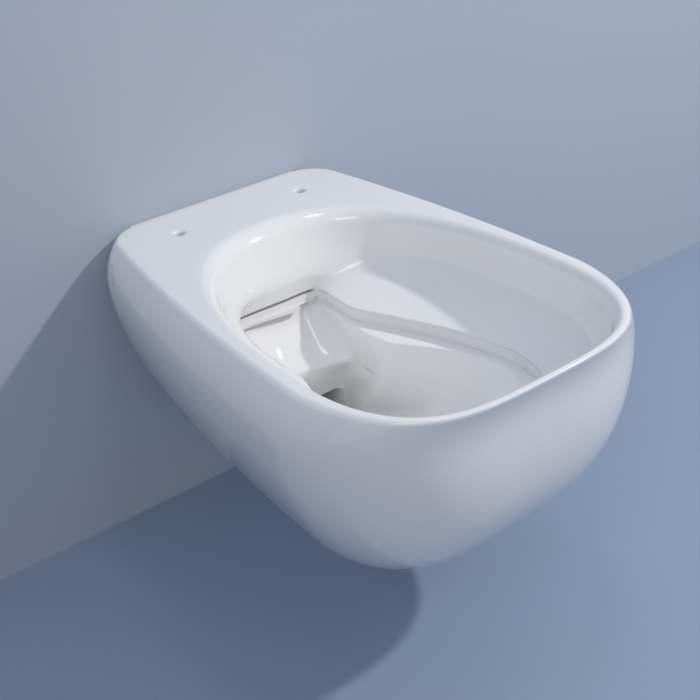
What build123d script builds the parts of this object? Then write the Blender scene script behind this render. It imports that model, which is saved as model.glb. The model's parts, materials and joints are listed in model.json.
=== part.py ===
from build123d import *
from math import atan2, cos, degrees, pi, sin, sqrt
import os

# A wall hung toilet pan with a rimless bowl and hidden fixings, with the kit that hangs and plumbs it.
# Millimetres. The wall is the plane y = 0, the front of the pan points along -Y and +Z is up.
# The origin is midway between the two wall studs, on the wall.

# Skirt of the pan
pan_length = 540.0
deck_width = 336.0
body_width = 382.0
pan_height = 250.0
wall_width = 268.0
corner_radius = 43.0
deck_above_studs = 80.0
ceramic = 11.0
front_lean = 10.0
widest_from_wall = 400.0
front_squareness = 3.7
front_roundness = 1.7
belly_depth = 48.0
swell_power = 2.5
side_fall_depth = 332.0
side_fall_power = 1.64
front_fall_depth = 353.0
front_fall_power = 2.65
bottom_radius = 43.0

# Opening and bowl, as depths below the deck and distances from the wall
opening_width = 298.0
opening_rear = 111.0
rim_thickness = 13.0
opening_power = 2.4
side_easing = 8.0
rear_easing = 13.0
front_easing = 4.0
easing_depth = 14.0
lip_depth = 80.0
lip_width = 194.0
neck_right = 38.0
neck_left = 78.0
neck_corner = 9.0
neck_straight = 28.0
neck_rear = 130.0
neck_front = 200.0
lip_widest = 395.0
lip_front = 476.0
channel_height = 17.0
shelf_width = 17.0
channel_undercut = 2.0
throat_side_pull = 24.0
throat_rear_pull = 30.0
throat_front_pull = 20.0
bowl_depth = 222.0
bowl_side_power = 0.55
bowl_front_power = 0.8
bowl_egg_power = 2.1
bowl_widest_share = 0.62
tongue_end_share = 0.38
sump_rear = 168.0
sump_front = 245.0
sump_width = 72.0
tongue_front = 181.0

# Seat hinge holes
seat_hole_spacing = 155.0
seat_hole_from_wall = 57.0
seat_hole_diameter = 12.0
seat_hole_easing = 2.5

# Flush inlet and waste outlet
inlet_above_studs = 35.0
inlet_bore = 55.0
inlet_wall = 8.0
inlet_socket_depth = 44.0
waste_below_studs = 100.0
spigot_diameter = 102.0
spigot_bore = 86.0
back_recess = 6.0
back_flange = 6.0
back_grinding = 0.5
window_depths = (14, 22, 36, 55, 90, 130, 170, 205, 228)
spigot_length = 104.0
duct_width = 60.0
duct_front = 106.0
duct_back = 84.0
duct_wall = 10.0
neck_bore = 40.0
slot_left = 60.0
slot_right = 36.0
trap_width = 48.0
trap_dip = 98.0
trap_foot = 163.0
trap_lead = 60.0
weir_above_outlet = 36.0
weir_from_wall = 106.0
weir_land = 6.0
trap_back = 76.0
crown_above_weir = 34.0
crown_slope = 22.0

# Wall fixing, one on each side
stud_spacing = 180.0
stud_diameter = 12.0
stud_thread = 11.8
shank_in_front = 0.05
stud_behind_wall = 60.0
stud_in_front = 24.0
stud_chamfer = 1.2
nut_across_flats = 19.0
nut_thickness = 10.0
washer_diameter = 22.0
washer_thickness = 2.5
bracket_thickness = 4.0
bracket_clearance = 0.5
bracket_width = 37.0
bracket_edge = 9.0
bracket_above_studs = 58.0
bracket_below_studs = 18.0
bracket_leg_height = 38.0
bracket_leg_length = 70.0
pad_thickness = 4.0
pad_cover = 8.0
pad_wall = 2.5
pad_from_wall = 12.0
pad_length = 24.0
access_below_deck = 25.0
access_from_wall = 46.0
access_diameter = 20.0
access_bore = 15.0
access_recess = 14.0
boss_diameter = 34.0
boss_length = 14.5
screw_diameter = 8.0
screw_head_diameter = 13.0
screw_head_height = 4.0
socket_across_flats = 5.0
socket_depth = 2.5
rivet_nut_diameter = 11.0
rivet_nut_length = 12.0
rivet_flange_diameter = 15.0
rivet_flange = 1.2
flange_thickness = 2.0

# Pipes
flush_pipe_diameter = 45.0
flush_pipe_wall = 2.5
flush_pipe_behind_wall = 70.0
flush_pipe_insertion = 36.0
bead_width = 3.0
bead_height = 2.0
seal_flange = 4.0
connector_clearance = 2.5
connector_wall = 3.5
connector_socket = 46.0
waste_pipe_diameter = 90.0
waste_pipe_behind_wall = 90.0
fit_clearance = 0.3

deck_z = deck_above_studs
bottom_z = deck_z - pan_height
inner_deck_z = deck_z - ceramic
lip_z = deck_z - lip_depth
shelf_z = lip_z - channel_height
sump_z = deck_z - bowl_depth
opening_front = pan_length - rim_thickness
access_z = deck_z - access_below_deck
stud_x = stud_spacing / 2
leg_x = stud_x + bracket_edge
leg_top = inner_deck_z - pad_thickness
bracket_middle = (bracket_above_studs - bracket_below_studs) / 2
slot_width = slot_left + slot_right
slot_middle = (slot_right - slot_left) / 2
os.makedirs("parts", exist_ok=True)


def belly(top, widest, fall_depth, fall_power, depth):
    if depth < belly_depth:
        return widest - (widest - top) * (1 - depth / belly_depth) ** swell_power
    return widest * (1 - ((depth - belly_depth) / fall_depth) ** fall_power)


def skirt_size(depth):
    # Half width, length, half width at the wall, corner radius and distance of the widest point
    half_width = belly(deck_width / 2, body_width / 2, side_fall_depth, side_fall_power, depth)
    length = belly(pan_length, pan_length - front_lean, front_fall_depth, front_fall_power, depth)
    widen = half_width / (deck_width / 2)
    above_bottom = pan_height - depth
    tuck = 0.0
    if above_bottom < bottom_radius:
        tuck = bottom_radius - sqrt(bottom_radius**2 - (bottom_radius - above_bottom) ** 2)
    widest = widest_from_wall - (pan_length - length) / 2 - tuck / 2
    return half_width - tuck, length - tuck, wall_width / 2 * widen - tuck, corner_radius * widen, widest


def skirt_corner(depth):
    # The rounded corner beside the wall: its centre, its radius and where it meets the flank
    half_width, length, half_wall, radius, widest = skirt_size(depth)
    bow = (half_width - half_wall) / widest**2
    turn = atan2(2 * bow * (widest - radius), 1)
    meet_x = half_width - bow * (widest - radius * (1 - sin(turn))) ** 2
    return meet_x - radius * cos(turn), radius, turn, bow


def flank_x(depth, from_wall):
    half_width, length, half_wall, radius, widest = skirt_size(depth)
    return half_width - skirt_corner(depth)[3] * (widest - from_wall) ** 2


def draw_skirt(depth, inset):
    half_width, length, half_wall, radius, widest = skirt_size(depth)
    centre_x, radius, turn, bow = skirt_corner(depth)
    small = radius - inset
    points = [(centre_x + small * cos(turn), small * sin(turn) - radius)]
    for share in (0.35, 0.7):
        y = -radius - share * (widest - radius)
        points.append((half_width - bow * (y + widest) ** 2 - inset, y))
    for angle in (0, 20, 40, 58, 72, 82):
        x = (half_width - inset) * cos(angle * pi / 180) ** (2 / front_squareness)
        y = widest + (length - inset - widest) * sin(angle * pi / 180) ** (2 / front_roundness)
        points.append((x, -y))
    points.append((0, inset - length))
    Line((0, -inset), (centre_x, -inset))
    CenterArc((centre_x, -radius), small, 90, degrees(turn) - 90)
    Spline(*points, tangents=[(sin(turn), -cos(turn)), (-1, 0)])
    mirror(about=Plane.YZ)


def draw_closed(right, left):
    # One smooth closed curve through the points of both halves, the left ones given as if on the right
    way_back = [(-x, y) for x, y in left[-2:0:-1]]
    Spline(*right, *way_back, periodic=True)


def draw_egg(half_width, rear, widest, front, power):
    # A closed outline, pointed towards the wall and squarer at the front
    points = [(0, -rear)]
    for angle in (24, 46, 68):
        x = half_width * sin(angle * pi / 180) ** (2 / power)
        y = widest - (widest - rear) * cos(angle * pi / 180) ** (2 / power)
        points.append((x, -y))
    for angle in (0, 25, 45, 65):
        x = half_width * cos(angle * pi / 180) ** (2 / front_squareness)
        y = widest + (front - widest) * sin(angle * pi / 180)
        points.append((x, -y))
    points.append((0, -front))
    draw_closed(points, points)


def pear_half(neck_half, inset):
    # Half of the lip over the flush channel: a neck at the water outlet, then the wide bowl
    neck = neck_half - inset / 3
    wide = lip_width / 2 - inset
    rear = neck_rear + inset / 2
    front = lip_front - inset
    bowl_start = neck_front + inset / 2
    reach = lip_widest - bowl_start
    points = [(0, -rear), (neck * 0.66, -rear - 1), (neck * 0.94, -rear - neck_corner)]
    points.append((neck, -rear - neck_straight))
    points.append((neck, -bowl_start))
    for along, across in ((0.2, 0.36), (0.45, 0.66), (0.72, 0.9), (1.0, 1.0)):
        points.append((neck + (wide - neck) * across, -bowl_start - along * reach))
    points.append((wide * 0.9, -lip_widest - (front - lip_widest) * 0.5))
    points.append((wide * 0.5, -lip_widest - (front - lip_widest) * 0.9))
    return points + [(0, -front)]


def draw_pear(inset):
    # The splash slope fills the left of the neck, so the neck reaches further out on that side
    draw_closed(pear_half(neck_right, inset), pear_half(neck_left, inset))


def draw_throat(depth, grow):
    # The opening narrows from the eased deck edge down towards the lip
    easing = max(0.0, 1 - depth / easing_depth) ** 2
    sink = depth / lip_depth
    half_width = opening_width / 2 + side_easing * easing - throat_side_pull * sink**3 + grow
    rear = opening_rear - rear_easing * easing + throat_rear_pull * sink - grow
    front = opening_front + front_easing * easing - throat_front_pull * sink**2 + grow
    draw_egg(half_width, rear, widest_from_wall - throat_front_pull * sink, front, opening_power)


def draw_bowl(share, grow):
    # From the inner edge of the shelf, share 0, to the floor of the sump, share 1
    shelf_half = lip_width / 2 - shelf_width
    shelf_front = lip_front - shelf_width
    half_width = shelf_half - (shelf_half - sump_width / 2) * share**bowl_side_power
    front = shelf_front - (shelf_front - sump_front) * share**bowl_front_power
    if share < tongue_end_share:
        rear = neck_rear + (tongue_front - neck_rear) * share / tongue_end_share
    else:
        under = (share - tongue_end_share) / (1 - tongue_end_share)
        rear = tongue_front - (tongue_front - sump_rear) * under
    widest = rear + (front - rear) * bowl_widest_share
    draw_egg(half_width + grow, rear - grow, widest, front + grow, bowl_egg_power)


skirt_depths = (0, 8, 20, 34, 48, 78, 110, 145, 180, 207, 225, 238, 246, 250)
hollow_depths = (ceramic, 24, 48, 78, 110, 145, 180, 207, 225, pan_height - ceramic)
throat_depths = (0, 1.5, 4, 8, 14, 26, 38, 50, 62)
bowl_shares = (0.04, 0.1, 0.18, 0.28, 0.38, 0.54, 0.7, 0.85, 1.0)

def level(z, draw, *sizes):
    with BuildSketch(Plane.XY.offset(z)) as section:
        with BuildLine():
            draw(*sizes)
        make_face()
    return section.sketch


with BuildPart() as skirt_form:
    for depth in skirt_depths:
        add(level(deck_z - depth, draw_skirt, depth, 0))
    loft()

# The skirt, ground to one flat face at the wall
with BuildPart() as outer_form:
    add(skirt_form.part.moved(Location((0, back_grinding, 0))))
    with Locations((0, back_grinding, deck_z - pan_height / 2)):
        Box(body_width, 2 * back_grinding, pan_height + 2, mode=Mode.SUBTRACT)

with BuildPart() as inner_form:
    for depth in hollow_depths:
        add(level(deck_z - depth, draw_skirt, depth, ceramic))
    loft()

with BuildPart() as throat_form:
    for depth in throat_depths:
        add(level(deck_z - depth, draw_throat, depth, 0))
    add(level(lip_z, draw_pear, 0))
    loft(ruled=True)

with BuildPart() as channel_form:
    add(level(shelf_z, draw_pear, -channel_undercut))
    extrude(amount=channel_height)

with BuildPart() as bowl_form:
    add(level(shelf_z, draw_pear, shelf_width))
    for share in bowl_shares:
        add(level(shelf_z - share * (shelf_z - sump_z), draw_bowl, share, 0))
    loft(ruled=True)

# The outside of the bowl's wall, in one smooth run from the deck to under the sump
with BuildPart() as bowl_wall_form:
    for depth in throat_depths:
        add(level(deck_z - depth - ceramic * 0.7, draw_throat, depth, ceramic))
    add(level(shelf_z - ceramic, draw_egg, lip_width / 2 + ceramic, neck_rear - ceramic * 1.6,
               lip_widest - 12, lip_front + ceramic, 1.7))
    for share in bowl_shares[4:]:
        add(level(shelf_z - share * (shelf_z - sump_z) - ceramic, draw_bowl, share, ceramic))
    loft(ruled=True)


def trap_form(grow):
    # The water seal, drawn from the side: out of the sump, over the weir and down to the outlet
    lowest = sump_z - 1
    outlet_z = -waste_below_studs
    weir_z = outlet_z + weir_above_outlet
    crown_z = weir_z + crown_above_weir
    way = [(-sump_rear - trap_lead, lowest), (-trap_foot, lowest), (-weir_from_wall - weir_land, weir_z)]
    way += [(-weir_from_wall, weir_z), (-weir_from_wall, outlet_z), (-trap_back, outlet_z)]
    way += [(-trap_back, crown_z - weir_land), (-trap_back - weir_land, crown_z)]
    way += [(-weir_from_wall - weir_land, crown_z)]
    way += [(-weir_from_wall - weir_land - crown_slope, crown_z - crown_slope / 2)]
    way += [(-tongue_front, -trap_dip), (-sump_rear - trap_lead, -trap_dip)]
    with BuildPart() as form:
        with BuildSketch(Plane.YZ):
            with BuildLine():
                Polyline(*way, close=True)
            make_face()
            if grow:
                offset(amount=grow)
        extrude(amount=trap_width / 2 + grow, both=True)
    return form.part


face_x = flank_x(access_below_deck, access_from_wall)
seat_x = face_x - access_recess

# The hollow behind and under the bowl, which the wall closes
with BuildPart() as hollow:
    add(inner_form.part)
    window = [(0, deck_z - window_depths[0])]
    for depth in window_depths + (pan_height - ceramic,):
        window.append((skirt_corner(depth)[0] - back_flange, deck_z - depth))
    window.append((0, bottom_z + ceramic))
    with BuildSketch(Plane.XZ):
        with BuildLine():
            Polyline(*window, close=True)
        make_face()
        mirror(about=Plane.YZ)
    extrude(amount=ceramic + 1)
    add(bowl_wall_form.part, mode=Mode.SUBTRACT)
    add(trap_form(ceramic - 2), mode=Mode.SUBTRACT)
    with Locations((slot_middle, -(duct_front + duct_back) / 2 - duct_wall, (shelf_z + inner_deck_z) / 2)):
        Box(slot_width + 2 * duct_wall, duct_front - duct_back + 3 * duct_wall,
            inner_deck_z - shelf_z + 2 * duct_wall, mode=Mode.SUBTRACT)
    with BuildSketch(Plane.XZ.offset(back_recess)):
        with Locations((0, inlet_above_studs)):
            Circle(inlet_bore / 2 + inlet_wall)
    extrude(amount=duct_back - back_recess, mode=Mode.SUBTRACT)
    with BuildSketch(Plane.XZ.offset(back_recess)):
        with Locations((0, -waste_below_studs)):
            Circle(spigot_diameter / 2)
    extrude(amount=spigot_length + duct_wall - back_recess, mode=Mode.SUBTRACT)
    for side in (-1, 1):
        with BuildSketch(Plane.YZ.offset(side * (seat_x - boss_length))):
            with Locations((-access_from_wall, access_z)):
                Circle(boss_diameter / 2)
        extrude(amount=side * (boss_length + access_recess), mode=Mode.SUBTRACT)

with BuildPart() as pan:
    add(outer_form.part)
    add(hollow.part, mode=Mode.SUBTRACT)
    add(throat_form.part, mode=Mode.SUBTRACT)
    add(channel_form.part, mode=Mode.SUBTRACT)
    add(bowl_form.part, mode=Mode.SUBTRACT)
    add(trap_form(0), mode=Mode.SUBTRACT)
    # Flush way: room for the seal's flange, the inlet socket, a duct down behind the bowl
    # and the slot under the rear lip
    with BuildSketch(Plane.XZ):
        with Locations((0, inlet_above_studs)):
            Circle(inlet_bore / 2 + seal_flange + 1)
    extrude(amount=back_recess, mode=Mode.SUBTRACT)
    with BuildSketch(Plane.XZ):
        with Locations((0, inlet_above_studs)):
            Circle(inlet_bore / 2)
    extrude(amount=inlet_socket_depth + back_recess, mode=Mode.SUBTRACT)
    with BuildSketch(Plane.XZ):
        with Locations((0, inlet_above_studs)):
            Circle(neck_bore / 2)
    extrude(amount=duct_front - 6, mode=Mode.SUBTRACT)
    with Locations((0, -(duct_front + duct_back) / 2, (shelf_z + inlet_above_studs + 12) / 2)):
        Box(duct_width, duct_front - duct_back, inlet_above_studs + 12 - shelf_z, mode=Mode.SUBTRACT)
    with Locations((slot_middle, -(neck_rear + duct_wall + duct_back) / 2, (shelf_z + lip_z) / 2)):
        Box(slot_width, neck_rear + duct_wall - duct_back, channel_height, mode=Mode.SUBTRACT)
    # Waste outlet
    with BuildSketch(Plane.XZ):
        with Locations((0, -waste_below_studs)):
            Circle(spigot_bore / 2)
    extrude(amount=spigot_length, mode=Mode.SUBTRACT)
    # Side access holes
    for side in (-1, 1):
        with BuildSketch(Plane.YZ.offset(side * (seat_x - boss_length - 1))):
            with Locations((-access_from_wall, access_z)):
                Circle(access_bore / 2)
        extrude(amount=side * 60, mode=Mode.SUBTRACT)
        with BuildSketch(Plane.YZ.offset(side * seat_x)):
            with Locations((-access_from_wall, access_z)):
                Circle(access_diameter / 2)
        extrude(amount=side * 40, mode=Mode.SUBTRACT)
    # Seat hinge holes through the deck, with eased edges
    with BuildSketch(Plane.XY.offset(deck_z)):
        with Locations((0, -seat_hole_from_wall)):
            with GridLocations(seat_hole_spacing, 1, 2, 1):
                Circle(seat_hole_diameter / 2)
    extrude(amount=-ceramic - 2, mode=Mode.SUBTRACT)
    mouths = pan.edges().filter_by(GeomType.CIRCLE).filter_by_position(Axis.Z, deck_z - 0.1, deck_z + 0.1)
    fillet(mouths, seat_hole_easing)
pan.part.label = "pan"
export_step(pan.part, "parts/pan.step")
print("pan", round(pan.part.volume / 1e6, 3), pan.part.is_valid, len(pan.part.solids()))

# Hidden fixings, the same on both sides
for side, hand in ((-1, "left"), (1, "right")):
    centre = side * stud_x
    leg_centre = side * (leg_x - bracket_thickness / 2)

    with BuildPart() as bracket:
        with BuildSketch(Plane.XZ):
            with Locations((side * (leg_x - bracket_width / 2), bracket_middle)):
                Rectangle(bracket_width, bracket_above_studs + bracket_below_studs)
        extrude(amount=bracket_thickness)
        with BuildSketch(Plane.YZ.offset(side * leg_x)):
            with Locations((-bracket_leg_length / 2, leg_top - bracket_leg_height / 2)):
                Rectangle(bracket_leg_length, bracket_leg_height)
        extrude(amount=-side * bracket_thickness)
        with BuildSketch(Plane.XZ):
            with Locations((centre, 0)):
                Circle(stud_diameter / 2 + bracket_clearance)
        extrude(amount=bracket_thickness, mode=Mode.SUBTRACT)
        with BuildSketch(Plane.YZ.offset(side * leg_x)):
            with Locations((-access_from_wall, access_z)):
                Circle(rivet_nut_diameter / 2)
        extrude(amount=-side * bracket_thickness, mode=Mode.SUBTRACT)
        far = bracket.edges().filter_by(Axis.X).group_by(Axis.Y)[0]
        fillet(far, bracket_thickness * 2)
    bracket.part.label = hand + "_wall_bracket"

    with BuildPart() as stud:
        with BuildSketch(Plane.XZ.offset(-stud_behind_wall)):
            with Locations((centre, 0)):
                Circle(stud_diameter / 2)
        extrude(amount=stud_behind_wall + shank_in_front)
        with BuildSketch(Plane.XZ.offset(shank_in_front)):
            with Locations((centre, 0)):
                Circle(stud_thread / 2)
        extrude(amount=stud_in_front - shank_in_front)
        ends = stud.edges().filter_by(GeomType.CIRCLE).sort_by(Axis.Y)
        chamfer([ends[0], ends[-1]], stud_chamfer)
    stud.part.label = hand + "_wall_stud"

    with BuildPart() as washer:
        with BuildSketch(Plane.XZ.offset(bracket_thickness)):
            with Locations((centre, 0)):
                Circle(washer_diameter / 2)
                Circle(stud_diameter / 2 + fit_clearance, mode=Mode.SUBTRACT)
        extrude(amount=washer_thickness)
    washer.part.label = hand + "_stud_washer"

    with BuildPart() as nut:
        with BuildSketch(Plane.XZ.offset(bracket_thickness + washer_thickness)):
            with Locations((centre, 0)):
                RegularPolygon(nut_across_flats / 2, 6, major_radius=False)
                Circle(stud_thread / 2, mode=Mode.SUBTRACT)
        extrude(amount=nut_thickness)
    nut.part.label = hand + "_stud_nut"

    with BuildPart() as rivet_nut:
        with BuildSketch(Plane.YZ.offset(side * (leg_x + rivet_flange))):
            with Locations((-access_from_wall, access_z)):
                Circle(rivet_flange_diameter / 2)
        extrude(amount=-side * rivet_flange)
        with BuildSketch(Plane.YZ.offset(side * leg_x)):
            with Locations((-access_from_wall, access_z)):
                Circle(rivet_nut_diameter / 2)
        extrude(amount=-side * rivet_nut_length)
        with BuildSketch(Plane.YZ.offset(side * (leg_x + rivet_flange))):
            with Locations((-access_from_wall, access_z)):
                Circle(screw_diameter / 2)
        extrude(amount=-side * (rivet_nut_length + rivet_flange), mode=Mode.SUBTRACT)
    rivet_nut.part.label = hand + "_rivet_nut"

    with BuildPart() as pad:
        with BuildSketch(Plane.XZ.offset(pad_from_wall)):
            with Locations((leg_centre, (leg_top + inner_deck_z) / 2 - pad_cover / 2)):
                Rectangle(bracket_thickness + 2 * pad_wall, pad_thickness + pad_cover)
        extrude(amount=pad_length)
        with BuildSketch(Plane.XZ.offset(pad_from_wall)):
            with Locations((leg_centre, leg_top - pad_cover / 2)):
                Rectangle(bracket_thickness, pad_cover)
        extrude(amount=pad_length, mode=Mode.SUBTRACT)
    pad.part.label = hand + "_bracket_pad"

    with BuildPart() as bush:
        with BuildSketch(Plane.YZ.offset(side * seat_x)):
            with Locations((-access_from_wall, access_z)):
                Circle(access_diameter / 2 - fit_clearance)
        extrude(amount=side * flange_thickness)
        with BuildSketch(Plane.YZ.offset(side * seat_x)):
            with Locations((-access_from_wall, access_z)):
                Circle(access_bore / 2 - fit_clearance)
        extrude(amount=-side * (boss_length - 1))
        with BuildSketch(Plane.YZ.offset(side * (seat_x + flange_thickness))):
            with Locations((-access_from_wall, access_z)):
                Circle(screw_diameter / 2 + fit_clearance)
        extrude(amount=-side * (boss_length + flange_thickness), mode=Mode.SUBTRACT)
    bush.part.label = hand + "_screw_bush"

    head_x = seat_x + flange_thickness
    with BuildPart() as screw:
        with BuildSketch(Plane.YZ.offset(side * head_x)):
            with Locations((-access_from_wall, access_z)):
                Circle(screw_head_diameter / 2)
        extrude(amount=side * screw_head_height)
        chamfer(screw.edges().filter_by(GeomType.CIRCLE).sort_by(Axis.X, reverse=side < 0)[-1], 0.6)
        with BuildSketch(Plane.YZ.offset(side * head_x)):
            with Locations((-access_from_wall, access_z)):
                Circle(screw_diameter / 2)
        extrude(amount=-side * (head_x - leg_x + rivet_nut_length + 3))
        with BuildSketch(Plane.YZ.offset(side * (head_x + screw_head_height))):
            with Locations((-access_from_wall, access_z)):
                RegularPolygon(socket_across_flats / 2, 6, major_radius=False)
        extrude(amount=-side * socket_depth, mode=Mode.SUBTRACT)
    screw.part.label = hand + "_side_screw"

    with BuildPart() as cap:
        with BuildSketch(Plane.YZ.offset(side * (seat_x + flange_thickness))):
            with Locations((-access_from_wall, access_z)):
                Circle(access_diameter / 2 - 0.5)
        extrude(amount=side * 30)
        with BuildSketch(Plane.YZ.offset(side * (seat_x + flange_thickness))):
            with Locations((-access_from_wall, access_z)):
                Circle(screw_head_diameter / 2 + 0.6)
        extrude(amount=side * (screw_head_height + 0.5), mode=Mode.SUBTRACT)
        add(outer_form.part, mode=Mode.INTERSECT)
    cap.part.label = hand + "_side_cap"

    for piece in (bracket, stud, washer, nut, rivet_nut, pad, bush, screw, cap):
        export_step(piece.part, "parts/" + piece.part.label + ".step")
        print(piece.part.label, round(piece.part.volume / 1e3, 2), piece.part.is_valid)

# Flush pipe out of the wall and its lip seal in the inlet socket
with BuildPart() as flush_pipe:
    with BuildSketch(Plane.XZ.offset(-flush_pipe_behind_wall)):
        with Locations((0, inlet_above_studs)):
            Circle(flush_pipe_diameter / 2)
            Circle(flush_pipe_diameter / 2 - flush_pipe_wall, mode=Mode.SUBTRACT)
    extrude(amount=flush_pipe_behind_wall + flush_pipe_insertion)
    with BuildSketch(Plane.XZ.offset(-bead_width - 1)):
        with Locations((0, inlet_above_studs)):
            Circle(flush_pipe_diameter / 2 + bead_height)
            Circle(flush_pipe_diameter / 2 - flush_pipe_wall, mode=Mode.SUBTRACT)
    extrude(amount=bead_width)
    chamfer(flush_pipe.edges().group_by(Axis.Y)[0].sort_by(SortBy.RADIUS)[-1], 1)
flush_pipe.part.label = "flush_pipe"
export_step(flush_pipe.part, "parts/flush_pipe.step")

with BuildPart() as flush_seal:
    with BuildSketch(Plane.XZ):
        with Locations((0, inlet_above_studs)):
            Circle(inlet_bore / 2 + seal_flange)
    extrude(amount=back_recess - 1)
    with BuildSketch(Plane.XZ.offset(back_recess - 1)):
        with Locations((0, inlet_above_studs)):
            Circle(inlet_bore / 2 - fit_clearance)
    extrude(amount=flush_pipe_insertion - back_recess)
    with BuildSketch(Plane.XZ):
        with Locations((0, inlet_above_studs)):
            Circle(flush_pipe_diameter / 2)
    extrude(amount=flush_pipe_insertion, mode=Mode.SUBTRACT)
flush_seal.part.label = "flush_seal"
export_step(flush_seal.part, "parts/flush_seal.step")

# Waste connector: a socket over the spigot, stepped down to the pipe in the wall
socket_radius = spigot_diameter / 2 + connector_clearance
with BuildPart() as waste_connector:
    with BuildSketch(Plane.YZ):
        with BuildLine():
            Polyline(
                (-back_recess - connector_socket, socket_radius - waste_below_studs),
                (-back_recess - connector_socket, socket_radius + connector_wall - waste_below_studs),
                (2, socket_radius + connector_wall - waste_below_studs),
                (16, waste_pipe_diameter / 2 - waste_below_studs),
                (waste_pipe_behind_wall, waste_pipe_diameter / 2 - waste_below_studs),
                (waste_pipe_behind_wall, waste_pipe_diameter / 2 - connector_wall - waste_below_studs),
                (15, waste_pipe_diameter / 2 - connector_wall - waste_below_studs),
                (1, socket_radius - waste_below_studs),
                close=True,
            )
        make_face()
    revolve(axis=Axis((0, 0, -waste_below_studs), (0, 1, 0)))
waste_connector.part.label = "waste_connector"
export_step(waste_connector.part, "parts/waste_connector.step")

with BuildPart() as waste_seal:
    with BuildSketch(Plane.XZ.offset(back_recess + connector_socket - 14)):
        with Locations((0, -waste_below_studs)):
            Circle(socket_radius)
            Circle(spigot_diameter / 2, mode=Mode.SUBTRACT)
    extrude(amount=14)
    with BuildSketch(Plane.XZ.offset(back_recess + connector_socket)):
        with Locations((0, -waste_below_studs)):
            Circle(socket_radius + connector_wall)
            Circle(spigot_diameter / 2, mode=Mode.SUBTRACT)
    extrude(amount=2.5)
waste_seal.part.label = "waste_seal"
export_step(waste_seal.part, "parts/waste_seal.step")
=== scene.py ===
import json
from math import atan2, cos, exp, pi, sin, sqrt

import bmesh
import bpy
import numpy as np
from mathutils import Matrix, Vector
from mathutils.bvhtree import BVHTree


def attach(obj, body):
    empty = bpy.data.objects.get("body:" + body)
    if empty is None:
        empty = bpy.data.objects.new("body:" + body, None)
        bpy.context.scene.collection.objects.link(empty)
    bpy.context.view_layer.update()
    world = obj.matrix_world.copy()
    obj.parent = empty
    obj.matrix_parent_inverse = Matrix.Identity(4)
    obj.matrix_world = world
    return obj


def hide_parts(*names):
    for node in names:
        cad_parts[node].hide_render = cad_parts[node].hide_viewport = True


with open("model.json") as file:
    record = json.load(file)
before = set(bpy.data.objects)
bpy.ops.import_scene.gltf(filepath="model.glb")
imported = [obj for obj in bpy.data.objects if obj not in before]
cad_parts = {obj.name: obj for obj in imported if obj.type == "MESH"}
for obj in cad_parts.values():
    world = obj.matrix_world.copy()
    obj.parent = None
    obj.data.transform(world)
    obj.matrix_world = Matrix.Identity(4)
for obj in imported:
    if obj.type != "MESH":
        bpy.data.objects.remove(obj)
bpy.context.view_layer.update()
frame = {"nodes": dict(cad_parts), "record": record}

nodes = frame["nodes"]
print("stage: frame loaded,", len(nodes), "nodes")


# Shader groups shared by the finishes

def newGroup(name, inputs, outputs):
    group = bpy.data.node_groups.new(name, "ShaderNodeTree")
    for label, kind, value in inputs:
        socket = group.interface.new_socket(label, in_out="INPUT", socket_type=kind)
        socket.default_value = value
    for label, kind in outputs:
        group.interface.new_socket(label, in_out="OUTPUT", socket_type=kind)
    return group, group.nodes.new("NodeGroupInput"), group.nodes.new("NodeGroupOutput")


def link(tree, a, aSocket, b, bSocket):
    tree.links.new(a.outputs[aSocket], b.inputs[bSocket])


def mathNode(tree, kind, value=None):
    node = tree.nodes.new("ShaderNodeMath")
    node.operation = kind
    if value is not None:
        node.inputs[1].default_value = value
    return node


def makeMottle():
    # Slow colour drift and a fine waviness, as in any fired, moulded or plated surface
    group, entry, out = newGroup("surfaceMottle", [
        ("Color", "NodeSocketColor", (0.8, 0.8, 0.8, 1)),
        ("Drift", "NodeSocketFloat", 0.03),
        ("Scale", "NodeSocketFloat", 12.0),
        ("Roughness", "NodeSocketFloat", 0.1),
        ("Roughness Drift", "NodeSocketFloat", 0.02),
    ], [("Color", "NodeSocketColor"), ("Roughness", "NodeSocketFloat"), ("Height", "NodeSocketFloat")])
    place = group.nodes.new("ShaderNodeTexCoord")
    noise = group.nodes.new("ShaderNodeTexNoise")
    noise.inputs["Detail"].default_value = 3.0
    link(group, place, "Object", noise, "Vector")
    link(group, entry, "Scale", noise, "Scale")
    centred = mathNode(group, "SUBTRACT", 0.5)
    link(group, noise, "Fac", centred, 0)
    tone = mathNode(group, "MULTIPLY")
    link(group, centred, 0, tone, 0)
    link(group, entry, "Drift", tone, 1)
    level = mathNode(group, "ADD", 1.0)
    link(group, tone, 0, level, 0)
    shade = group.nodes.new("ShaderNodeVectorMath")
    shade.operation = "SCALE"
    link(group, entry, "Color", shade, 0)
    link(group, level, 0, shade, "Scale")
    link(group, shade, 0, out, "Color")
    rough = mathNode(group, "MULTIPLY_ADD")
    link(group, centred, 0, rough, 0)
    link(group, entry, "Roughness Drift", rough, 1)
    link(group, entry, "Roughness", rough, 2)
    link(group, rough, 0, out, "Roughness")
    link(group, noise, "Fac", out, "Height")
    return group


mottleGroup = makeMottle()


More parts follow.
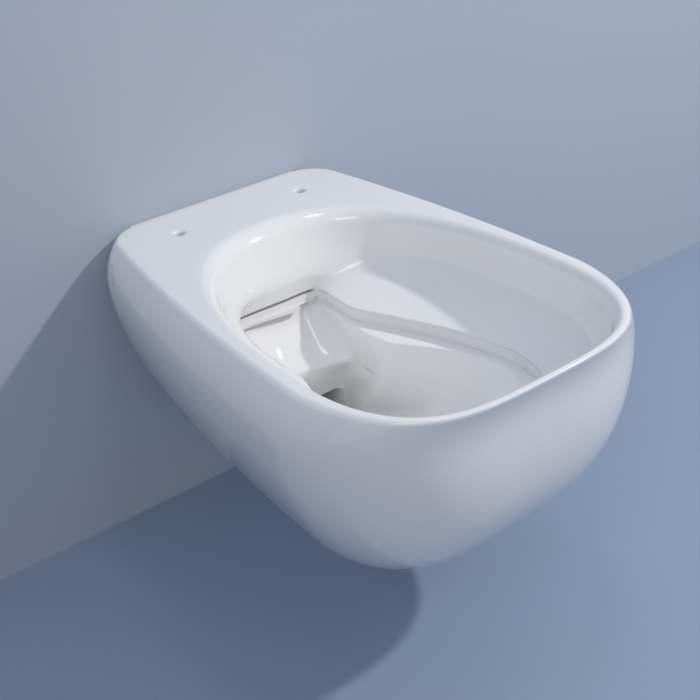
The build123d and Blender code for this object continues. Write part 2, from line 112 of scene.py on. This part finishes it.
def makeFinish(name, look):
    material = bpy.data.materials.new(name)
    material.use_nodes = True
    tree = material.node_tree
    shader = tree.nodes["Principled BSDF"]
    mottle = tree.nodes.new("ShaderNodeGroup")
    mottle.node_tree = mottleGroup
    mottle.inputs["Color"].default_value = (*look["color"], 1)
    mottle.inputs["Drift"].default_value = look["drift"]
    mottle.inputs["Scale"].default_value = look["scale"]
    mottle.inputs["Roughness"].default_value = look["roughness"]
    mottle.inputs["Roughness Drift"].default_value = look["roughDrift"]
    link(tree, mottle, "Color", shader, "Base Color")
    link(tree, mottle, "Roughness", shader, "Roughness")
    if look["bump"]:
        bump = tree.nodes.new("ShaderNodeBump")
        bump.inputs["Strength"].default_value = look["bump"]
        bump.inputs["Distance"].default_value = look["bumpDepth"]
        link(tree, mottle, "Height", bump, "Height")
        link(tree, bump, "Normal", shader, "Normal")
    shader.inputs["Metallic"].default_value = look["metallic"]
    shader.inputs["Coat Weight"].default_value = look["coat"]
    shader.inputs["Coat Roughness"].default_value = 0.03
    shader.inputs["Specular IOR Level"].default_value = look["specular"]
    return material


finishes = {
    "glaze": {
        "color": (0.89, 0.885, 0.89), "drift": 0.025, "scale": 7.0,
        "roughness": 0.1, "roughDrift": 0.03,
        "bump": 0.02, "bumpDepth": 0.0004, "metallic": 0.0, "coat": 0.5, "specular": 0.5,
    },
    "biscuit": {
        "color": (0.74, 0.74, 0.73), "drift": 0.08, "scale": 25.0,
        "roughness": 0.5, "roughDrift": 0.2,
        "bump": 0.15, "bumpDepth": 0.0006, "metallic": 0.0, "coat": 0.0, "specular": 0.4,
    },
    "cap": {
        "color": (0.78, 0.79, 0.81), "drift": 0.03, "scale": 60.0,
        "roughness": 0.22, "roughDrift": 0.05,
        "bump": 0.0, "bumpDepth": 0.0, "metallic": 0.0, "coat": 0.0, "specular": 0.5,
    },
    "zincSteel": {
        "color": (0.62, 0.63, 0.64), "drift": 0.25, "scale": 90.0,
        "roughness": 0.34, "roughDrift": 0.2,
        "bump": 0.1, "bumpDepth": 0.0002, "metallic": 1.0, "coat": 0.0, "specular": 0.5,
    },
    "nylon": {
        "color": (0.76, 0.76, 0.73), "drift": 0.05, "scale": 80.0,
        "roughness": 0.5, "roughDrift": 0.1,
        "bump": 0.1, "bumpDepth": 0.0002, "metallic": 0.0, "coat": 0.0, "specular": 0.4,
    },
    "rubber": {
        "color": (0.035, 0.035, 0.038), "drift": 0.4, "scale": 120.0,
        "roughness": 0.72, "roughDrift": 0.15,
        "bump": 0.2, "bumpDepth": 0.0003, "metallic": 0.0, "coat": 0.0, "specular": 0.35,
    },
    "pipe": {
        "color": (0.05, 0.05, 0.055), "drift": 0.3, "scale": 40.0,
        "roughness": 0.42, "roughDrift": 0.1,
        "bump": 0.1, "bumpDepth": 0.0003, "metallic": 0.0, "coat": 0.0, "specular": 0.45,
    },
    "flushTube": {
        "color": (0.72, 0.72, 0.71), "drift": 0.05, "scale": 40.0,
        "roughness": 0.3, "roughDrift": 0.08,
        "bump": 0.05, "bumpDepth": 0.0002, "metallic": 0.0, "coat": 0.0, "specular": 0.5,
    },
}
materials = {name: makeFinish(name, look) for name, look in finishes.items()}
slotFinish = {"glaze": "glaze", "cap": "cap", "zinc_steel": "zincSteel", "nylon": "nylon", "rubber": "rubber",
              "pipe": "pipe", "flush_tube": "flushTube"}
for entry in frame["record"]["subparts"]:
    node = nodes[entry["node"]]
    node.data.materials.clear()
    node.data.materials.append(materials[slotFinish[entry["material_slot"]]])
print("stage: finishes made")


# The pan's glazed surface, in millimetres until the mesh is made

skirt = {"length": 539.4, "deckHalf": 168.0, "bellyHalf": 191.0, "height": 250.0, "wallHalf": 134.0,
         "corner": 43.0, "lean": 10.0, "widest": 400.0, "squareness": 3.7, "roundness": 1.7,
         "bellyDepth": 48.0, "swell": 2.5, "sideFall": (332.0, 1.64), "frontFall": (353.0, 2.65),
         "bottomRadius": 43.0, "ridge": 4.0, "deck": 80.0}
columns = {"back": 10, "corner": 14, "flank": 36, "front": 44}   # quads in the right half of each ring
halfCount = sum(columns.values())
rearCount = halfCount - columns["front"]


def belly(top, widest, fall, depth):
    if depth < skirt["bellyDepth"]:
        return widest - (widest - top) * (1 - depth / skirt["bellyDepth"]) ** skirt["swell"]
    return widest * (1 - ((depth - skirt["bellyDepth"]) / fall[0]) ** fall[1])


def spaced(points, count):
    # The points of an open run, moved to equal steps along it
    points = np.asarray(points, float)
    step = np.hypot(*np.diff(points, axis=0).T)
    along = np.concatenate([[0], np.cumsum(step)])
    wanted = np.linspace(0, along[-1], count + 1)
    return np.stack([np.interp(wanted, along, points[:, 0]), np.interp(wanted, along, points[:, 1])], 1)


def skirtRing(depth, inset):
    # Right half of the outline, from the middle of the back to the middle of the front
    half = belly(skirt["deckHalf"], skirt["bellyHalf"], skirt["sideFall"], depth)
    length = belly(skirt["length"], skirt["length"] - skirt["lean"], skirt["frontFall"], depth)
    widen = half / skirt["deckHalf"]
    above = skirt["height"] - depth
    bottom = skirt["bottomRadius"]
    tuck = bottom - sqrt(bottom**2 - (bottom - above) ** 2) if above < bottom else 0.0
    widest = skirt["widest"] - (skirt["length"] - length) / 2 - tuck / 2
    half -= tuck
    length -= tuck
    wallHalf = skirt["wallHalf"] * widen - tuck
    radius = skirt["corner"] * widen
    bow = (half - wallHalf) / widest**2
    turn = atan2(2 * bow * (widest - radius), 1)
    meetX = half - bow * (widest - radius * (1 - sin(turn))) ** 2
    centreX = meetX - radius * cos(turn)
    back = [(centreX * i / 10, -inset) for i in range(11)]
    corner = []
    for i in range(61):
        angle = pi / 2 + (turn - pi / 2) * i / 60
        corner.append((centreX + (radius - inset) * cos(angle), (radius - inset) * sin(angle) - radius))
    startY = corner[-1][1]
    flank = []
    for i in range(201):
        y = startY + (-widest - startY) * i / 200
        flank.append((half - bow * (y + widest) ** 2 - inset, y))
    front = []
    for i in range(301):
        t = pi / 2 * (i / 300)
        x = (half - inset) * cos(t) ** (2 / skirt["squareness"])
        y = widest + (length - inset - widest) * sin(t) ** (2 / skirt["roundness"])
        front.append((x, -y))
    parts = [spaced(back, columns["back"]), spaced(corner, columns["corner"])[1:],
             spaced(flank, columns["flank"])[1:], spaced(front, columns["front"])[1:]]
    return np.concatenate(parts)


throat = {"half": 149.0, "rear": 111.0, "front": 527.0, "power": 2.4, "squareness": 3.7, "widest": 400.0,
          "rearPull": 30.0, "sidePull": 24.0, "frontPull": 20.0, "easeSide": 10.0, "easeRear": 15.0,
          "easeFront": 7.0, "easeDepth": 15.0, "lip": 80.0}


def eggRing(half, rear, widest, front, power, squareness):
    back, fore = [], []
    for i in range(401):
        t = pi / 2 * i / 400
        behind = (widest - rear) * max(0.0, cos(t)) ** (2 / power)
        back.append((half * sin(t) ** (2 / power), behind - widest))
        fore.append((half * max(0.0, cos(t)) ** (2 / squareness), -(widest + (front - widest) * sin(t))))
    return np.concatenate([spaced(back, rearCount), spaced(fore, columns["front"])[1:]])


def throatRing(depth, easeShare):
    sink = depth / throat["lip"]
    return eggRing(
        throat["half"] + throat["easeSide"] * easeShare - throat["sidePull"] * sink**3,
        throat["rear"] - throat["easeRear"] * easeShare + throat["rearPull"] * sink,
        throat["widest"] - 20 * sink,
        throat["front"] + throat["easeFront"] * easeShare - throat["frontPull"] * sink**2,
        throat["power"], throat["squareness"])


curveSteps = 24


def curveThrough(points):
    # Smooth open run through points that are mirrored in x = 0 at both ends
    pts = [np.array(p, float) for p in points]
    mirrored = [np.array([-pts[1][0], pts[1][1]])] + pts + [np.array([-pts[-2][0], pts[-2][1]])]
    out = []
    for i in range(1, len(mirrored) - 2):
        p0, p1, p2, p3 = mirrored[i - 1:i + 3]
        t0 = 0.0
        t1 = t0 + max(1e-6, np.linalg.norm(p1 - p0)) ** 0.5
        t2 = t1 + max(1e-6, np.linalg.norm(p2 - p1)) ** 0.5
        t3 = t2 + max(1e-6, np.linalg.norm(p3 - p2)) ** 0.5
        for t in np.linspace(t1, t2, curveSteps, endpoint=False):
            a1 = (t1 - t) / (t1 - t0) * p0 + (t - t0) / (t1 - t0) * p1
            a2 = (t2 - t) / (t2 - t1) * p1 + (t - t1) / (t2 - t1) * p2
            a3 = (t3 - t) / (t3 - t2) * p2 + (t - t2) / (t3 - t2) * p3
            b1 = (t2 - t) / (t2 - t0) * a1 + (t - t0) / (t2 - t0) * a2
            b2 = (t3 - t) / (t3 - t1) * a2 + (t - t1) / (t3 - t1) * a3
            out.append((t2 - t) / (t2 - t1) * b1 + (t - t1) / (t2 - t1) * b2)
    out.append(pts[-1])
    return np.array(out)


def pearHalf(rear, neckShape, wide, widest, front):
    # A neck towards the wall that opens into the wide bowl
    neck, corner, pinch, neckFront = neckShape
    points = [
        (0, -rear),
        (max(neck - corner, neck * 0.3), -rear),
        (neck - corner * 0.3, -rear - corner * 0.3),
        (neck, -rear - corner),
        (neck - pinch, -(rear + corner + neckFront) / 2),
        (neck, -neckFront),
    ]
    reach = widest - neckFront
    for along, across in ((0.25, 0.34), (0.5, 0.66), (0.76, 0.91), (1.0, 1.0)):
        points.append((neck + (wide - neck) * across, -neckFront - along * reach))
    nose = front - widest
    for along, across in ((0.4, 0.93), (0.72, 0.76), (0.93, 0.45)):
        points.append((wide * across, -widest - along * nose))
    points.append((0, -front))
    run = curveThrough(points)
    # The neck takes the first five spans of the curve and the flank the next four
    neckEnd = curveSteps * 5
    widestEnd = curveSteps * 9
    return np.concatenate([
        spaced(run[:neckEnd + 1], rearCount - columns["flank"]),
        spaced(run[neckEnd:widestEnd + 1], columns["flank"])[1:],
        spaced(run[widestEnd:], columns["front"])[1:],
    ])


def wholeRing(depth, right, left=None):
    # Right half from rear to front, then the left half back to the rear
    left = right if left is None else left
    flat = np.concatenate([right, left[-2:0:-1] * (-1, 1)])
    return np.column_stack([flat, np.full(len(flat), skirt["deck"] - depth)])


def pearRing(depth, shape):
    rear, right, left, wide, widest, front = shape
    halves = [pearHalf(rear, neckShape, wide, widest, front) for neckShape in (right, left)]
    ring = wholeRing(depth, *halves)
    # The splash slope runs askew: its right end stands further out than its left
    peak = exp(-((depth - slope["depth"]) / slope["spread"]) ** 2)
    near = np.clip(1 - (-ring[:, 1] - rear) / slope["reach"], 0, 1) ** 2
    ring[:, 1] -= slope["skew"] * peak * near * np.clip(ring[:, 0], -slope["left"], slope["right"])
    return ring


slope = {"depth": 143.0, "spread": 17.0, "reach": 60.0, "skew": 0.32, "left": 36.0, "right": 30.0}

# Depth below the deck, then the rear, the neck on the right and on the left as half width, corner,
# pinch and front end, then the half width of the bowl, its place and the front
bowl = {
    "lip": (130.0, (38.0, 9.0, 0.0, 200.0), (82.0, 20.0, 0.0, 240.0), 97.0, 395.0, 476.0),
    "under": (127.0, (41.0, 9.0, 0.0, 197.0), (85.0, 20.0, 0.0, 240.0), 100.0, 395.0, 479.0),
    "floor": (128.0, (40.0, 9.0, 0.0, 198.0), (84.0, 20.0, 0.0, 240.0), 99.0, 395.0, 478.0),
    "crest": (117.0, (36.0, 16.0, 5.0, 257.0), (68.0, 16.0, 0.0, 250.0), 89.0, 380.0, 459.0),
    "rings": [
        (100.0, (119.5, (35.5, 18.0, 5.0, 257.0), (66.0, 20.0, 0.0, 250.0), 88.0, 379.0, 456.0)),
        (110.0, (131.0, (34.5, 24.0, 4.0, 256.0), (61.0, 24.0, 0.0, 250.0), 82.0, 372.0, 443.0)),
        (122.0, (147.0, (34.0, 26.0, 3.0, 254.0), (56.0, 26.0, 0.0, 248.0), 75.0, 360.0, 422.0)),
        (134.0, (163.0, (33.5, 22.0, 2.0, 250.0), (50.0, 22.0, 0.0, 246.0), 69.0, 346.0, 398.0)),
        (142.0, (175.0, (33.0, 14.0, 1.0, 246.0), (45.0, 16.0, 0.0, 244.0), 65.0, 334.0, 380.0)),
        (146.5, (180.6, (33.0, 9.0, 0.0, 244.0), (42.0, 12.0, 0.0, 243.0), 62.5, 328.0, 370.0)),
        (151.0, (181.0, (33.0, 8.0, 0.0, 242.0), (40.0, 10.0, 0.0, 241.0), 60.5, 321.0, 360.0)),
        (164.0, (177.5, (33.0, 8.0, 0.0, 236.0), (37.0, 9.0, 0.0, 236.0), 56.0, 302.0, 331.0)),
        (178.0, (173.5, (33.5, 8.0, 0.0, 228.0), (35.0, 9.0, 0.0, 228.0), 52.0, 280.0, 302.0)),
        (192.0, (170.0, (33.5, 9.0, 0.0, 216.0), (34.0, 9.0, 0.0, 216.0), 48.0, 254.0, 274.0)),
        (204.0, (168.0, (33.5, 10.0, 0.0, 204.0), (33.5, 10.0, 0.0, 204.0), 43.0, 232.0, 254.0)),
        (213.0, (168.0, (33.0, 11.0, 0.0, 199.0), (33.0, 11.0, 0.0, 199.0), 37.0, 222.0, 244.0)),
        (218.5, (170.5, (30.0, 11.0, 0.0, 197.0), (30.0, 11.0, 0.0, 197.0), 32.0, 217.0, 237.0)),
        (221.3, (176.0, (24.0, 10.0, 0.0, 197.0), (24.0, 10.0, 0.0, 197.0), 25.5, 213.0, 229.0)),
        (222.0, (184.0, (15.0, 6.0, 0.0, 198.0), (15.0, 6.0, 0.0, 198.0), 16.0, 209.0, 219.0)),
    ],
    "shelf": 97.0,
}


def smoothRings(keys, steps):
    # Catmull-Rom through whole rings, so that every column is a smooth line
    out = []
    count = len(keys)
    for i in range(count - 1):
        p0 = keys[max(0, i - 1)] if i else 2 * keys[0] - keys[1]
        p1, p2 = keys[i], keys[i + 1]
        p3 = keys[i + 2] if i + 2 < count else 2 * keys[-1] - keys[-2]
        for j in range(steps):
            t = j / steps
            out.append(0.5 * (2 * p1 + (p2 - p0) * t + (2 * p0 - 5 * p1 + 4 * p2 - p3) * t**2
                              + (3 * p1 - p0 - 3 * p2 + p3) * t**3))
    out.append(keys[-1])
    return out


def buildRings():
    rings = []
    deepest = skirt["height"]
    radius = skirt["bottomRadius"]
    flatRing = skirtRing(deepest, 0)
    centre = np.array([0.0, -255.0])
    for share in (0.12, 0.4, 0.7, 0.9):
        rings.append(wholeRing(deepest, centre + (flatRing - centre) * share))
    for i in range(13):
        depth = deepest - radius + radius * cos(pi / 2 * i / 12)
        rings.append(wholeRing(depth, skirtRing(depth, 0)))
    lower = np.linspace(deepest - radius, 60, 16)[1:]
    upper = np.linspace(60, skirt["ridge"], 16)[1:]
    for depth in np.concatenate([lower, upper]):
        rings.append(wholeRing(depth, skirtRing(depth, 0)))
    ridge = skirt["ridge"]
    for i in range(1, 8):
        angle = pi / 2 * i / 7
        depth = ridge * (1 - sin(angle))
        outer = skirtRing(depth, ridge * (1 - cos(angle)) * 0.62)
        rings.append(wholeRing(depth, outer))
    inner = throatRing(0, 1.0)
    for share in (0.08, 0.3, 0.5, 0.7, 0.92):
        rings.append(wholeRing(0, outer + (inner - outer) * share))
    for i in range(10):
        angle = pi / 2 * i / 10
        depth = throat["easeDepth"] * (1 - cos(angle))
        rings.append(wholeRing(depth, throatRing(depth, 1 - sin(angle))))
    for depth in (15.0, 19.0, 24.0, 30.0, 36.0, 42.0):
        rings.append(wholeRing(depth, throatRing(depth, 0)))
    # From the upright wall over a soft bend to the ramp that ends at the lip
    top = rings[-1]
    bend = wholeRing(59.0, throatRing(59.0, 0))
    lip = pearRing(throat["lip"], bowl["lip"])
    rampStart = bend + (lip - bend) * 0.3
    for i in range(1, 13):
        t = i / 12
        rings.append((1 - t) ** 2 * top + 2 * t * (1 - t) * bend + t**2 * rampStart)
    for t in (0.42, 0.54, 0.66, 0.78, 0.88, 0.95):
        rings.append(bend + (lip - bend) * t)
    rings.append(lip)
    # Undercut wall of the flush channel, its floor and the crest
    under = pearRing(throat["lip"], bowl["under"])
    undercut = ((81.5, 0.05), (83.5, 0.5), (86.0, 0.9), (90.0, 1.0), (93.5, 1.0), (95.6, 0.93), (96.7, 0.7))
    for depth, share in undercut:
        ring = lip + (under - lip) * share
        ring[:, 2] = skirt["deck"] - depth
        rings.append(ring)
    floor = pearRing(bowl["shelf"], bowl["floor"])
    crest = pearRing(bowl["shelf"] + 0.5, bowl["crest"])
    rings.append(floor)
    for share in (0.4, 0.75):
        rings.append(floor + (crest - floor) * share)
    keys = [pearRing(depth, shape) for depth, shape in bowl["rings"]]
    rings.append(crest + (floor - crest) * 0.08)
    rings.append(crest + (keys[0] - crest) * 0.25 - np.array([0, 0, 0.1]))
    rings.extend(smoothRings(keys, 4))
    return rings


rings = buildRings()
print("stage: rings ready,", len(rings))


def skinObject(name, rings):
    mesh = bmesh.new()
    around = 2 * halfCount
    grid = []
    for ring in rings:
        grid.append([mesh.verts.new(point / 1000) for point in ring])
    for a, b in zip(grid, grid[1:]):
        for k in range(around):
            quad = (a[k], a[(k + 1) % around], b[(k + 1) % around], b[k])
            mesh.faces.new(quad)
    mesh.faces.new(list(reversed(grid[0])))
    mesh.faces.new(grid[-1])
    bmesh.ops.recalc_face_normals(mesh, faces=mesh.faces)
    data = bpy.data.meshes.new(name)
    mesh.to_mesh(data)
    mesh.free()
    obj = bpy.data.objects.new(name, data)
    bpy.context.scene.collection.objects.link(obj)
    return obj


# Seat holes with an eased rim in the deck, access holes for the side screws under the caps
seatHole = {"x": 77.5, "y": -57.0, "radius": 6.0, "ease": 2.6, "depth": 14.5, "above": 4.0}
sideHole = {"y": -46.0, "z": 55.0, "radius": 10.0, "inner": 150.0, "outer": 200.0}
slotCut = {"left": -60.0, "right": 36.0, "front": -136.0, "rear": -104.0, "top": -2.2, "bottom": -6.8,
           "corner": 2.0}
mouthCut = {"half": 32.0, "front": -180.0, "rear": -132.0, "top": -110.0, "bottom": -139.5,
            "corner": 8.0}


def loopsToMesh(mesh, loops):
    # A closed tool from a stack of equal loops
    grid = [[mesh.verts.new(Vector(point) / 1000) for point in loop] for loop in loops]
    around = len(loops[0])
    for a, b in zip(grid, grid[1:]):
        for k in range(around):
            mesh.faces.new((a[k], a[(k + 1) % around], b[(k + 1) % around], b[k]))
    mesh.faces.new(list(reversed(grid[0])))
    mesh.faces.new(grid[-1])


def holeLoops(centre, axis, profile, count=48):
    # Circles along x or z, each given as radius and place along the axis
    loops = []
    for radius, along in profile:
        loop = []
        for k in range(count):
            u, v = radius * cos(2 * pi * k / count), radius * sin(2 * pi * k / count)
            across = (centre[0] + u, centre[1] + v)
            loop.append((along, *across) if axis == "x" else (*across, along))
        loops.append(loop)
    return loops


def slotLoops(cut, sections):
    # Rounded rectangles in x and z at each y
    loops = []
    for y, grow in sections:
        left, right = cut["left"] - grow, cut["right"] + grow
        bottom, top = cut["bottom"] - grow, cut["top"] + grow
        radius = cut["corner"]
        loop = []
        for cx, cz, start in ((right - radius, top - radius, 0), (left + radius, top - radius, 1),
                              (left + radius, bottom + radius, 2), (right - radius, bottom + radius, 3)):
            for k in range(7):
                angle = pi / 2 * (start + k / 6)
                loop.append((cx + radius * cos(angle), y, cz + radius * sin(angle)))
        loops.append(loop)
    return loops


def cutTools():
    mesh = bmesh.new()
    ease = seatHole["ease"]
    deck = skirt["deck"]
    flare = []
    for a in np.linspace(0, pi / 2, 8):
        flare.append((seatHole["radius"] + ease * (1 - cos(a)), deck - ease * (1 - sin(a))))
    foot = (seatHole["radius"], deck - seatHole["depth"])
    head = (seatHole["radius"] + ease, deck + seatHole["above"])
    profile = [foot] + flare + [head]
    for side in (-1, 1):
        loopsToMesh(mesh, holeLoops((side * seatHole["x"], seatHole["y"]), "z", profile))
        ends = [(sideHole["radius"], side * sideHole[end]) for end in ("inner", "outer")]
        loopsToMesh(mesh, holeLoops((sideHole["y"], sideHole["z"]), "x", ends))
    loopsToMesh(mesh, slotLoops(slotCut, [(slotCut["front"], 0), (slotCut["rear"], 0)]))
    mouth = dict(mouthCut, left=-mouthCut["half"], right=mouthCut["half"])
    loopsToMesh(mesh, slotLoops(mouth, [(mouth["front"], 0), (mouth["rear"], 0)]))
    bmesh.ops.recalc_face_normals(mesh, faces=mesh.faces)
    data = bpy.data.meshes.new("cutTools")
    mesh.to_mesh(data)
    mesh.free()
    obj = bpy.data.objects.new("cutTools", data)
    bpy.context.scene.collection.objects.link(obj)
    return obj


def openSkin(obj, tool):
    # Cuts the openings, then drops the flat back and the inner ends of the cuts
    modifier = obj.modifiers.new("openings", "BOOLEAN")
    modifier.operation = "DIFFERENCE"
    modifier.solver = "EXACT"
    modifier.object = tool
    graph = bpy.context.evaluated_depsgraph_get()
    data = bpy.data.meshes.new_from_object(obj.evaluated_get(graph))
    obj.modifiers.clear()
    obj.data = data
    bpy.data.objects.remove(tool)
    mesh = bmesh.new()
    mesh.from_mesh(data)
    before = len(mesh.faces)
    bmesh.ops.dissolve_degenerate(mesh, dist=0.000002, edges=mesh.edges)
    gone = []
    for face in mesh.faces:
        x, y, z = face.calc_center_median() * 1000
        flat = [abs(v) > 0.999 for v in face.normal]
        back = all(v.co.y > -0.00001 for v in face.verts)
        seatEnd = flat[2] and abs(z - skirt["deck"] + seatHole["depth"]) < 0.01
        sideEnd = flat[0] and abs(abs(x) - sideHole["inner"]) < 0.01
        slotEnd = flat[1] and abs(y - slotCut["rear"]) < 0.01
        mouthEnd = flat[1] and abs(y - mouthCut["rear"]) < 0.01
        if back or seatEnd or sideEnd or slotEnd or mouthEnd:
            gone.append(face)
    bmesh.ops.delete(mesh, geom=gone, context="FACES")
    for face in mesh.faces:
        face.smooth = True
    for edge in mesh.edges:
        if len(edge.link_faces) == 2 and edge.calc_face_angle() > 0.7:
            edge.smooth = False
    print("stage: openings cut,", before, "faces,", len(gone), "dropped")
    mesh.to_mesh(data)
    mesh.free()


panGlaze = skinObject("panGlaze", rings)
openSkin(panGlaze, cutTools())
panGlaze.data.materials.clear()
panGlaze.data.materials.append(materials["glaze"])
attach(panGlaze, "body")
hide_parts("pan")
print("stage: glazed surface made,", len(panGlaze.data.polygons), "faces")

# The unglazed back and the hollow behind the bowl come from the solid's own mesh. Faces that the glazed
# surface covers, or that would stand proud of it in the bowl, are left out
shell = {"near": 0.006, "opposed": -0.2, "backDepth": 0.0004, "bowlStart": -0.124, "proud": 0.0002}


def hollowObject(name, source, skin):
    corners = [v.co for v in skin.data.vertices]
    tree = BVHTree.FromPolygons(corners, [list(q.vertices) for q in skin.data.polygons])
    mesh = bmesh.new()
    mesh.from_mesh(source.data)
    mesh.transform(source.matrix_world)
    gone = []
    for face in mesh.faces:
        middle = face.calc_center_median()
        if middle.y > -shell["backDepth"] and face.normal.y > 0.9:
            continue
        _, normal, _, distance = tree.find_nearest(middle)
        covered = distance < shell["near"] and normal.dot(face.normal) > shell["opposed"]
        inBowl = False
        if middle.y < shell["bowlStart"]:
            for point in [middle] + [v.co for v in face.verts]:
                place, facing, _, _ = tree.find_nearest(point)
                inBowl = inBowl or (point - place).dot(facing) > shell["proud"]
        if covered or inBowl:
            gone.append(face)
    bmesh.ops.delete(mesh, geom=gone, context="FACES")
    data = bpy.data.meshes.new(name)
    mesh.to_mesh(data)
    mesh.free()
    obj = bpy.data.objects.new(name, data)
    bpy.context.scene.collection.objects.link(obj)
    return obj


panHollow = hollowObject("panHollow", nodes["pan"], panGlaze)
panHollow.data.materials.append(materials["biscuit"])
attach(panHollow, "body")
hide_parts("pan")
print("stage: hollow made,", len(panHollow.data.polygons), "faces")


# Stage, lights and camera

stage = {"floorHeight": -0.281, "wallPlace": 0.0005, "wallTop": 3.0, "reach": 6.0, "gap": 2.0,
         "floorColor": (0.29, 0.37, 0.50), "wallColor": (0.445, 0.51, 0.595)}


def plane(name, corners, faces, color, roughness):
    data = bpy.data.meshes.new(name)
    data.from_pydata(corners, [], faces)
    obj = bpy.data.objects.new(name, data)
    bpy.context.scene.collection.objects.link(obj)
    material = bpy.data.materials.new(name + "Paint")
    material.use_nodes = True
    tree = material.node_tree
    shader = tree.nodes["Principled BSDF"]
    mottle = tree.nodes.new("ShaderNodeGroup")
    mottle.node_tree = mottleGroup
    mottle.inputs["Color"].default_value = (*color, 1)
    mottle.inputs["Drift"].default_value = 0.02
    mottle.inputs["Scale"].default_value = 3.0
    mottle.inputs["Roughness"].default_value = roughness
    link(tree, mottle, "Color", shader, "Base Color")
    link(tree, mottle, "Roughness", shader, "Roughness")
    data.materials.append(material)
    return material


reach = stage["reach"]
ground = stage["floorHeight"]
floorCorners = [(reach * x, reach * y, ground) for x, y in ((-1, -1), (1, -1), (1, 1), (-1, 1))]
plane("floor", floorCorners, [(0, 1, 2, 3)], stage["floorColor"], 0.6)

# The wall is open where the pan covers it, so that light reaches the hollow back
edges = [(ground, 0.0)]
for depth in np.linspace(skirt["height"] - stage["gap"], stage["gap"], 40):
    halfGap = skirtRing(depth, 0)[columns["back"]][0] - stage["gap"]
    edges.append(((skirt["deck"] - depth) / 1000, halfGap / 1000))
edges.insert(1, (edges[1][0], 0.0))
edges += [(edges[-1][0], 0.0), (stage["wallTop"], 0.0)]
wallCorners = []
wallFaces = []
for height, halfGap in edges:
    wallCorners += [(x, stage["wallPlace"], height) for x in (-reach, -halfGap, halfGap, reach)]
for row in range(0, 4 * len(edges) - 4, 4):
    wallFaces += [(row, row + 1, row + 5, row + 4), (row + 2, row + 3, row + 7, row + 6)]
wallPaint = plane("wall", wallCorners, wallFaces, stage["wallColor"], 0.7)

# The wall shows only from its front, so that the back of the pan can be looked at
wallTree = wallPaint.node_tree
clear = wallTree.nodes.new("ShaderNodeBsdfTransparent")
side = wallTree.nodes.new("ShaderNodeNewGeometry")
pick = wallTree.nodes.new("ShaderNodeMixShader")
link(wallTree, side, "Backfacing", pick, 0)
wallTree.links.new(wallTree.nodes["Principled BSDF"].outputs[0], pick.inputs[1])
wallTree.links.new(clear.outputs[0], pick.inputs[2])
wallTree.links.new(pick.outputs[0], wallTree.nodes["Material Output"].inputs["Surface"])

lights = {
    "key": {"at": (1.42, -1.40, 1.56), "size": (0.12, 0.09), "power": 26.0, "color": (1.0, 0.985, 0.96)},
    "fill": {"at": (-1.6, -1.5, 1.9), "size": (0.9, 0.6), "power": 5.0, "color": (0.92, 0.96, 1.0)},
    "top": {"at": (0.2, -0.5, 2.4), "size": (0.5, 0.4), "power": 3.0, "color": (0.96, 0.98, 1.0)},
}
aim = Vector((0, -0.27, 0.0))
for name, lamp in lights.items():
    data = bpy.data.lights.new(name, "AREA")
    data.shape = "RECTANGLE"
    data.size, data.size_y = lamp["size"]
    data.energy = lamp["power"]
    data.color = lamp["color"]
    obj = bpy.data.objects.new(name, data)
    obj.location = lamp["at"]
    obj.rotation_euler = (aim - Vector(lamp["at"])).to_track_quat("-Z", "Y").to_euler()
    bpy.context.scene.collection.objects.link(obj)

world = bpy.data.worlds.new("studio")
world.use_nodes = True
world.node_tree.nodes["Background"].inputs["Color"].default_value = (0.81, 0.84, 0.90, 1)
world.node_tree.nodes["Background"].inputs["Strength"].default_value = 0.55
bpy.context.scene.world = world

camera = {"at": (-0.5786, -1.1204, 0.5938), "turn": -0.6418, "down": 0.5327, "roll": -0.0746,
          "focal": 1177.9, "centre": (410.0, 350.0), "image": 700.0}
data = bpy.data.cameras.new("photoCamera")
data.sensor_width = 36.0
data.lens = camera["focal"] / camera["image"] * 36.0
data.shift_x = (camera["image"] / 2 - camera["centre"][0]) / camera["image"]
data.shift_y = (camera["centre"][1] - camera["image"] / 2) / camera["image"]
photoCamera = bpy.data.objects.new("photoCamera", data)
photoCamera.location = camera["at"]
turned = Matrix.Rotation(camera["turn"], 3, "Z")
tilted = Matrix.Rotation(pi / 2 - camera["down"], 3, "X")
rolled = Matrix.Rotation(camera["roll"], 3, "Z")
photoCamera.rotation_euler = (turned @ tilted @ rolled).to_euler()
bpy.context.scene.collection.objects.link(photoCamera)
bpy.context.scene.camera = photoCamera
bpy.context.scene.view_settings.view_transform = "Standard"
print("stage: lights and camera set")
